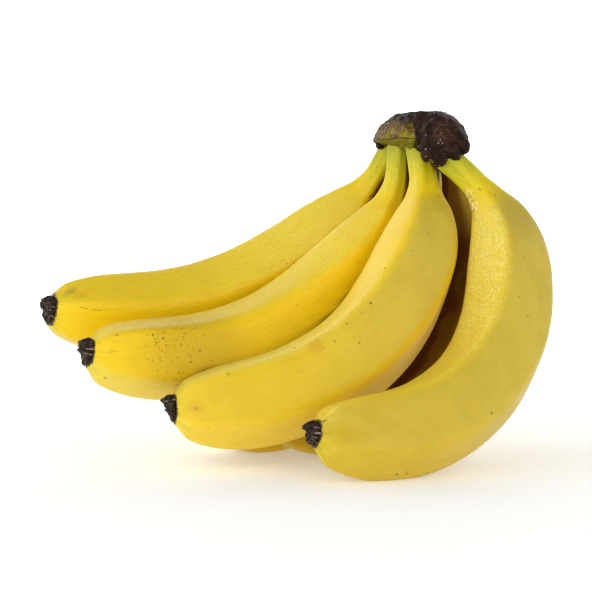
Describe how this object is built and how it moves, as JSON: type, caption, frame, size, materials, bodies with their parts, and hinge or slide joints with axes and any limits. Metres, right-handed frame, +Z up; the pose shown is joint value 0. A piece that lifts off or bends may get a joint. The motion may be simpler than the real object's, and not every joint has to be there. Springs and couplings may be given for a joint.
{
  "type": "bunch of bananas",
  "caption": "Ripe yellow bananas joined at one dark cut crown, curving down and to one side, lying on the bellies of the lowest fruits",
  "frame": {"origin": "on the surface that the bunch lies on, under the middle of its bounding box", "axes": "+Z up; +X to the right and -Y towards the viewer when the fruits' tips point left; the blossom ends lie towards -X"},
  "size_m": [0.2259, 0.1614, 0.1555],
  "materials": {
    "peel": "waxy ripe peel, soft sheen, green towards the stalks, fine brown specks",
    "crown": "dry, rough, nearly black cut tissue with a dull green flank",
    "blossom_end": "dry, fibrous, brown-black"
  },
  "bodies": {
    "root": {"crown": "crown", "finger_1": "peel", "finger_2": "peel", "finger_3": "peel", "finger_4": "peel", "finger_5": "peel", "finger_6": "peel", "blossom_end_1": "blossom_end", "blossom_end_2": "blossom_end", "blossom_end_3": "blossom_end", "blossom_end_4": "blossom_end", "blossom_end_5": "blossom_end", "blossom_end_6": "blossom_end"}
  },
  "joints": []
}
